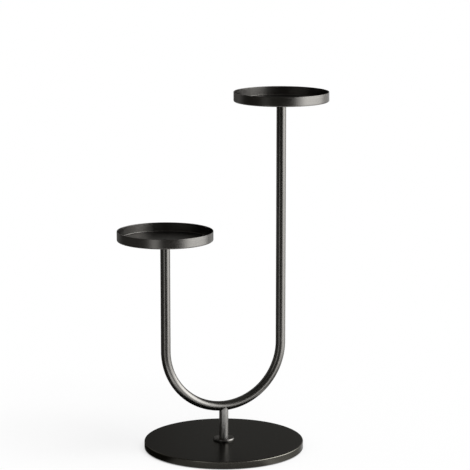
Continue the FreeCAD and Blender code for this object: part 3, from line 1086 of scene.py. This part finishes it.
@dataclass(kw_only=True)
class BentFrame(SubAssembly):
    """The tube bent into a U, and the post, collar and weld that carry it."""

    tube_wall: float = 1.5 * MM
    tube_mesh: Fineness = Fineness(56, 5 * MM)
    post_wall: float = 1.5 * MM
    post_columns: int = 96
    post_rows: int = 15
    fit_gap: float = 0.1 * MM
    collar_lip: float = 0.8 * MM
    collar_round: float = 0.4 * MM
    collar_bevel_in: float = 1.4 * MM
    collar_bevel_down: float = 2.5 * MM
    collar_floor: float = 1.2 * MM
    collar_land: float = 1 * MM
    collar_mesh: Fineness = Fineness(96, 1.5 * MM)
    weld_leg: float = 0.5 * MM
    weld_ripples: int = 44
    tube_radius: float = field(init=False)
    axis: BentAxis = field(init=False)

    def build(self) -> None:
        """Make the tube, then what stands under it."""
        low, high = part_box("frame_tube")
        self.tube_radius = high.y
        bend_radius = high.x - self.tube_radius
        self.axis = BentAxis(
            radius=bend_radius,
            middle=low.z + self.tube_radius + bend_radius,
            short_top=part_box("lower_tray_disc")[0].z,
            tall_top=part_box("upper_tray_disc")[0].z,
        )
        self._build_tube()
        self._build_post()
        self._build_collar()
        self.keep("post_plug", ZINC_FINISH)

    def _build_tube(self) -> None:
        """Tube wall carried along the centre line."""
        bore = self.tube_radius - self.tube_wall
        corners = [
            Corner(self.tube_radius, 0.0),
            Corner(self.tube_radius, self.axis.length),
            Corner(bore, self.axis.length),
            Corner(bore, 0.0),
        ]
        surface = turned(corners, self.axis, self.tube_mesh)
        self.add("bent_tube", [surface], "frame_tube", TUBE_FINISH)

    def _saddle(self, out: float, angles: np.ndarray, clearance: float = 0.0) -> np.ndarray:
        """Height of the underside of the bend above points at some distance from the post's axis.

        At x = out cos v and y = out sin v, with R the bend's radius and r the tube's, it is
        middle - sqrt((R + sqrt(r^2 - y^2))^2 - x^2).

        Args:
            out: distance from the post's axis.
            angles: the angle of each point.
            clearance: added to the tube's radius.

        Returns:
            Heights above the floor.
        """
        x = out * np.cos(angles)
        y = out * np.sin(angles)
        below = np.sqrt(np.clip((self.tube_radius + clearance) ** 2 - y**2, 0, None))
        return self.axis.middle - np.sqrt((self.axis.radius + below) ** 2 - x**2)

    def _build_post(self) -> None:
        """Post whose upper end follows the bend, and the weld round that end.

        At each angle its walls climb from the foot to the height of the bend there, in equal steps.
        """
        low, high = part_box("post_tube")
        outer = high.x
        angles = ring(self.post_columns)
        rise = np.linspace(0, 1, self.post_rows)[:, None]
        walls = [(outer, rise), (outer - self.post_wall, rise[::-1])]
        rows = [
            (radius, low.z + share * (self._saddle(radius, angles, self.fit_gap) - low.z))
            for radius, share in walls
        ]
        post = carried(*stacked(rows, angles), UprightAxis(), angles)
        self.add("coped_post", [post], "post_tube", LIT_POST_FINISH)

        columns = ring(self.weld_ripples * RIPPLE_COLUMNS)
        toe = outer + self.weld_leg
        saddle = self._saddle(outer, columns)
        foot = (outer, saddle - self.weld_leg)
        head = (toe, self._saddle(toe, columns))
        bead = bead_rows(foot, head, (outer, saddle), columns, self.weld_ripples)
        self.add("saddle_weld", [carried(*bead, UprightAxis(), columns)], "post_weld", WELD_FINISH)

    def _build_collar(self) -> None:
        """Low ring round the foot of the post, dished from its rim down to the post."""
        low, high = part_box("post_collar")
        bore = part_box("post_tube")[1].x + self.fit_gap
        dip = low.z + self.collar_floor
        rim = high.x - self.collar_bevel_in
        corners = [
            Corner(bore, low.z),
            Corner(high.x, low.z),
            Corner(high.x, high.z - self.collar_bevel_down, self.collar_round),
            Corner(rim, high.z, self.collar_round),
            Corner(rim - self.collar_lip, high.z, self.collar_round),
            Corner(bore + self.collar_land, dip, self.collar_round),
            Corner(bore, dip),
        ]
        surface = turned(corners, UprightAxis(), self.collar_mesh)
        self.add("foot_collar", [surface], "post_collar", COLLAR_FINISH)


class Level(StrEnum):
    """Which arm a tray is on."""

    LOWER = "lower"
    UPPER = "upper"


@dataclass(kw_only=True)
class Tier(SubAssembly):
    """A tray with the disc, weld, nut and screw that hold it on its arm."""

    level: Level
    sheet: float = 1.5 * MM
    depth: float = 22 * MM
    bend: float = 1.5 * MM
    lip: float = 0.5 * MM
    hole: float = 3.4 * MM
    dimple_seat: float = 6.3 * MM
    tray_mesh: Fineness = Fineness(160, 6 * MM)
    fit_gap: float = 0.1 * MM
    disc_land: float = 0.5 * MM
    disc_round: float = 0.6 * MM
    disc_mesh: Fineness = Fineness(96, 4 * MM)
    weld_leg: float = 2.5 * MM
    weld_ripples: int = 40
    screw_radius: float = 3 * MM
    screw_pitch: float = 1.0 * MM
    screw_head: float = 6 * MM
    screw_tip: float = 2.4 * MM
    screw_columns: int = 72
    socket_across: float = 4 * MM
    socket_depth: float = 2.2 * MM
    axis: UprightAxis = field(init=False)

    @property
    def slant(self) -> float:
        """The sheet's thickness, measured straight down through the slope of the dimple."""
        return self.sheet * math.sqrt(2)

    @property
    def dimple_radius(self) -> float:
        """Radius of the dimple on the underside of the tray."""
        return self.dimple_seat + self.slant - self.sheet

    def build(self) -> None:
        """Make the tray and what is under it."""
        low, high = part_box(f"{self.level}_tray")
        self.axis = UprightAxis((low.x + high.x) / 2)
        self._build_tray()
        self._build_disc()
        self._build_screw()
        self.keep(f"{self.level}_weld_nut", ZINC_FINISH)

    def _build_tray(self) -> None:
        """Pressed dish with a dimple at its middle."""
        low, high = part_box(f"{self.level}_tray")
        outer = (high.x - low.x) / 2
        inside = outer - self.sheet
        base = high.z - self.depth
        floor = base + self.sheet
        seat_low = floor - (self.dimple_seat - self.hole)
        corners = [
            Corner(self.hole, seat_low - self.slant),
            Corner(self.dimple_radius, base),
            Corner(outer, base, self.bend + self.sheet),
            Corner(outer, base + self.depth, self.lip),
            Corner(inside, base + self.depth, self.lip),
            Corner(inside, floor, self.bend),
            Corner(self.dimple_seat, floor),
            Corner(self.hole, seat_low),
        ]
        surface = turned(corners, self.axis, self.tray_mesh)
        self.add(f"{self.level}_dish", [surface], f"{self.level}_tray", TRAY_FINISH)

    def _build_disc(self) -> None:
        """Support disc, and the weld bead between it and the arm."""
        low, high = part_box(f"{self.level}_tray_disc")
        outer = (high.x - low.x) / 2
        corners = [
            Corner(self.hole, low.z),
            Corner(outer, low.z, self.disc_round),
            Corner(outer, high.z, self.disc_round / 2),
            Corner(self.dimple_radius + self.fit_gap, high.z),
            Corner(self.hole, low.z + self.disc_land),
        ]
        disc = turned(corners, self.axis, self.disc_mesh)
        self.add(f"{self.level}_support_disc", [disc], f"{self.level}_tray_disc", WELD_FINISH)

        columns = ring(self.weld_ripples * RIPPLE_COLUMNS)
        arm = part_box("frame_tube")[1].y
        foot = (arm, low.z - self.weld_leg)
        head = (arm + self.weld_leg, low.z)
        bead = bead_rows(foot, head, (arm, low.z), columns, self.weld_ripples)
        weld = carried(*bead, self.axis, columns)
        self.add(f"{self.level}_arm_weld", [weld], f"{self.level}_disc_weld", WELD_FINISH)

    def _build_screw(self) -> None:
        """Countersunk screw with a threaded shank and a hexagon socket in its head."""
        low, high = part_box(f"{self.level}_tray_screw")
        angles = ring(self.screw_columns)
        neck = high.z - (self.screw_head - self.screw_radius)
        shank = low.z + self.screw_radius - self.screw_tip
        socket = hexagon(self.socket_across, angles)
        floor = high.z - self.socket_depth
        rows = [
            (0.0, low.z),
            (self.screw_tip, low.z),
            thread_rows(self.screw_radius, shank, neck, self.screw_pitch, angles),
            (self.screw_head, high.z),
            (socket, high.z),
            (socket, floor),
            (0.0, floor),
        ]
        surface = carried(*stacked(rows, angles), self.axis, angles, closed_along=False)
        self.add(f"{self.level}_socket_screw", [surface], f"{self.level}_tray_screw", SCREW_FINISH)


# Studio

WHITE = (1.0, 1.0, 1.0, 1.0)


@dataclass(frozen=True)
class Camera:
    """The photograph's camera, fitted to the stand's outline.

    Attributes:
        place: where it stands.
        heading: angle of its sight line from +Y towards +X.
        pitch: angle of its sight line below level.
        focal_pixels: its focal length in pixels of the photograph.
        frame_pixels: width of the photograph.
    """

    place: Triple = (-1.7292, -4.4590, 1.3859)
    heading: float = math.radians(21.505)
    pitch: float = math.radians(10.552)
    focal_pixels: float = 2156.9
    frame_pixels: float = 470.0

    def build(self) -> None:
        """Make the camera and look through it."""
        lens = bpy.data.cameras.new("camera")
        lens.lens = self.focal_pixels / self.frame_pixels * lens.sensor_width
        camera = linked("camera", lens)
        camera.location = self.place
        camera.rotation_euler = (math.pi / 2 - self.pitch, 0.0, -self.heading)
        bpy.context.scene.camera = camera


@dataclass(frozen=True)
class Glow:
    """A lit patch of the tent.

    Attributes:
        angle: its middle, in degrees round the stand from the camera's side, positive to the camera's right.
        half_width: half of its width, in degrees.
        low: its lower edge: height on the wall, or minus the distance from the stand's middle on the floor.
        high: its upper edge, measured in the same way.
        radiance: how bright it looks; 1 is white.
        soft_angle: how far its sides fade, in degrees.
        soft_low: how far its lower edge fades.
        soft_high: how far its upper edge fades.
    """

    angle: float
    half_width: float
    low: float
    high: float
    radiance: float
    soft_angle: float = 12.0
    soft_low: float = 0.1
    soft_high: float = 0.1

    def at(self, angle: np.ndarray, along: np.ndarray) -> np.ndarray:
        """Give the patch's light at places on the tent.

        Across each of its edges a share s climbs from 0 to 1, and the light is the product of 3 s^2 - 2 s^3.

        Args:
            angle: angles round the stand, in degrees.
            along: heights on the wall, or minus distances on the floor.

        Returns:
            The radiance there: full inside the patch, and smoothly down to nothing past its edges.
        """
        off = np.abs(np.mod(angle - self.angle + DEGREES / 2, DEGREES) - DEGREES / 2)
        inside = [
            (self.half_width - off) / self.soft_angle,
            (along - self.low) / self.soft_low,
            (self.high - along) / self.soft_high,
        ]
        shares = np.clip(np.stack(inside) + 0.5, 0, 1)
        return self.radiance * np.prod(shares**2 * (3 - 2 * shares), axis=0)


@dataclass(frozen=True)
class Tent:
    """A light tent round the stand, which only reflections see: grey cloth with lit patches.

    Attributes:
        near: how far its wall is from the stand's middle.
        far: how far the wall is on the camera's right.
        far_side: where that is, as a patch whose light says how much of the way out the wall goes.
        inner: where its floor begins, just outside the base.
        lift: how far its floor is above the studio's floor.
        wall: height of its wall, above which it is a dome.
        top: height of the dome's top.
        cloth: radiance of the cloth where it isn't lit.
        columns: points round it.
        rows: points along its floor, its wall and its dome.
        patches: the lit patches.
    """

    near: float = 0.75
    far: float = 10.0
    far_side: Glow = Glow(90, 55, -1.0, 1.0, 1.0, soft_angle=30)
    inner: float = 0.185
    lift: float = 0.5 * MM
    wall: float = 9.0
    top: float = 9.6
    cloth: Triple = (0.052, 0.049, 0.042)
    columns: int = 240
    rows: tuple[int, int, int] = (90, 90, 20)
    patches: tuple[Glow, ...] = (
        # The bright side on the camera's right: far floor, wall, strips for the bend, and floor by the base
        Glow(83, 35, -12.0, -0.6, 3.0, soft_angle=30, soft_high=0.9),
        Glow(92, 31, 0.3, 7.0, 6.9, soft_angle=40, soft_low=0.9, soft_high=2.5),
        Glow(70, 9, 5.5, 8.5, 2.5, soft_low=2.0, soft_high=0.8),
        Glow(55, 12, -0.05, 3.8, 3.8, soft_high=1.4),
        Glow(39, 5, -0.05, 0.9, 1.6, soft_angle=6, soft_high=0.4),
        Glow(45, 8, -1.0, -0.45, 2.0),
        Glow(80, 45, -0.26, -0.1, 1.4),
        # Behind on the right and on the left: light lines along the edges of the tubes
        Glow(142, 14, -12.0, -0.2, 1.7, soft_angle=16),
        Glow(142, 14, -0.05, 0.9, 1.7, soft_angle=16),
        Glow(-130, 18, -0.95, -0.2, 0.4, soft_angle=16),
        Glow(-130, 18, 0.25, 0.95, 0.4, soft_angle=16, soft_low=0.3),
        # Beside the camera on the left: the narrow stripe left of the middle of tubes and trays
        Glow(-29, 8, -0.05, 0.55, 1.25, soft_angle=9),
        Glow(-29, 8, -0.75, -0.5, 1.2, soft_angle=9),
        Glow(-33, 8, 0.55, 1.2, 0.15, soft_angle=9),
        # Faint light on the left, in front, behind and above: greys of the dark stripes and the base's top
        Glow(-90, 60, -0.05, 0.55, 0.07, soft_angle=30),
        Glow(5, 20, -0.05, 0.4, 0.06, soft_angle=20),
        Glow(160, 40, -0.05, 0.45, 0.3, soft_angle=40),
        Glow(180, 30, 0.45, 1.5, 0.3, soft_angle=20),
        Glow(0, 200, 1.1, 12.0, 0.09, soft_low=0.5),
        # The floor in front: the base's side and edge
        Glow(2, 36, -0.5, -0.28, 2.6),
        Glow(0, 45, -0.28, -0.1, 0.48),
    )

    def build(self, camera: Camera) -> None:
        """Make the tent: floor, wall and dome round the stand, with the light painted on its points.

        The rows of the floor and the wall go out and up with the square of their number, so that they lie
        closest near the stand.

        Args:
            camera: the camera that the patches are set out from.
        """
        angles = ring(self.columns)
        bearing = np.degrees(angles[None, :] + math.pi / 2 + camera.heading)
        reach = self.near + (self.far - self.near) * self.far_side.at(bearing, 0 * bearing)
        floor, wall, dome = (np.linspace(0, 1, count)[:, None] for count in self.rows)
        on_floor = self.inner + (reach - self.inner) * floor**2
        on_wall = self.wall * wall**2
        on_dome = self.wall + (self.top - self.wall) * dome
        rows = [(on_floor, self.lift), (reach, on_wall), (reach * (1 - dome), on_dome)]
        surface = carried(*stacked(rows, angles), UprightAxis(), angles, closed_along=False)
        places, _ = stacked([(-on_floor, 0.0), (on_wall, 0.0), (on_dome, 0.0)], angles)
        lit = sum(patch.at(bearing + 0 * places, places) for patch in self.patches)
        mesh = mesh_of("light_tent", [surface])
        mark(mesh, GLOW, lit[..., None] + np.array(self.cloth))
        tent = linked("light_tent", mesh)
        graph = painted(mesh, "tent_cloth")
        colour = graph.node("ShaderNodeAttribute", output="Color", attribute_name=GLOW)
        graph.finish(graph.node("ShaderNodeEmission", {"Color": colour, "Strength": 1.0}))
        tent.visible_camera = False
        tent.visible_diffuse = False
        tent.visible_transmission = False
        tent.visible_shadow = False


@dataclass(frozen=True)
class Sun:
    """A wide, soft lamp that lights the floor and leaves the stand's shadow on it.

    Attributes:
        angle: where it comes from, round the stand from the camera's side.
        height: its angle above level.
        spread: how wide it looks.
        strength: the light it gives.
    """

    angle: float = math.radians(60)
    height: float = math.radians(62)
    spread: float = math.radians(40)
    strength: float = 2.0

    def build(self, camera: Camera) -> None:
        """Make the lamp.

        Args:
            camera: the camera that its angle is measured from.
        """
        lamp = bpy.data.lights.new("sun", "SUN")
        lamp.energy = self.strength
        lamp.angle = self.spread
        source = linked("sun", lamp)
        source.rotation_euler = (math.pi / 2 - self.height, 0.0, self.angle - camera.heading)
        source.visible_glossy = False


@dataclass(frozen=True)
class Studio:
    """Pale floor, plain soft light and a light tent.

    Attributes:
        camera: the camera that the lights are set out from.
        tent: what the metal reflects.
        sun: the lamp.
        fill: strength of the light from all round.
        glow: share of the floor's white that doesn't depend on the lamps.
        shade: radius of the part of the floor, under the base, that has no such share.
        shade_edge: width that this share comes in over.
        floor_paint: colour of the floor.
        opening: radius of the opening in the floor, which the base hides.
        floor_size: radius of the floor.
        floor_columns: points round the floor.
    """

    camera: Camera = Camera()
    tent: Tent = Tent()
    sun: Sun = Sun()
    fill: float = 0.55
    glow: float = 0.7
    shade: float = 0.184
    shade_edge: float = 8 * MM
    floor_paint: Triple = (0.9, 0.9, 0.9)
    opening: float = 0.165
    floor_size: float = 40.0
    floor_columns: int = 96

    def build(self) -> None:
        """Make the stage and the lights."""
        self.camera.build()
        self._build_world()
        self._build_floor()
        self.sun.build(self.camera)
        self.tent.build(self.camera)
        bpy.context.scene.view_settings.view_transform = "Standard"
        LOG.info("studio: set up")

    @staticmethod
    def _seen(graph: Graph) -> Wire:
        """Find whether a ray comes from the camera, a reflection or a clear piece.

        Args:
            graph: the graph to add this to.

        Returns:
            The wire: 1 if it does, and 0 if not.
        """
        kinds = ("Is Camera Ray", "Is Glossy Ray", "Is Transmission Ray")
        camera, glossy, clear = (graph.node("ShaderNodeLightPath", output=kind) for kind in kinds)
        return camera + glossy + clear

    def _build_world(self) -> None:
        """White all round where it is seen, and a plain fill light elsewhere."""
        world = bpy.data.worlds.new("studio")
        bpy.context.scene.world = world
        graph = Graph(world)
        strength = self.fill + (1.0 - self.fill) * self._seen(graph)
        background = graph.node("ShaderNodeBackground", {"Color": WHITE, "Strength": strength})
        graph.finish(background, "ShaderNodeOutputWorld")

    def _build_floor(self) -> None:
        """Wide pale floor that glows white where it is seen and takes the stand's shadow.

        It is clear from below and open under the base, so that the underside is lit and can be seen.
        """
        angles = ring(self.floor_columns)
        edges = stacked([(self.opening, 0.0), (self.floor_size, 0.0)], angles)
        mesh = mesh_of("floor", [carried(*edges, UprightAxis(), angles, closed_along=False)])
        floor = linked("floor", mesh)
        graph = painted(mesh, "floor_white")
        matt = graph.node("ShaderNodeBsdfDiffuse", {"Color": (*self.floor_paint, 1.0)})
        white = graph.node("ShaderNodeEmission", {"Color": WHITE, "Strength": 1.0})
        from_middle = graph.node("ShaderNodeVectorMath", {0: graph.place()}, "Value", operation="LENGTH")
        limits = {"Value": from_middle, "From Min": self.shade - self.shade_edge, "From Max": self.shade}
        clear = graph.node("ShaderNodeMapRange", limits, clamp=True)
        share = self.glow * clear * self._seen(graph)
        top = graph.node("ShaderNodeMixShader", {0: share, 1: matt, 2: white})
        below = graph.node("ShaderNodeNewGeometry", output="Backfacing")
        nothing = graph.node("ShaderNodeBsdfTransparent")
        graph.finish(graph.node("ShaderNodeMixShader", {0: below, 1: top, 2: nothing}))


def main() -> None:
    """Build and dress the stand in order, then set up the studio."""
    logging.basicConfig(level=logging.INFO, format="%(name)s: %(message)s")
    assemblies = [RoundBase(), BentFrame(), *(Tier(level=level) for level in Level)]
    for assembly in assemblies:
        assembly.build()
        assembly.dress()
    Studio().build()


if __name__ == "__main__":
    main()
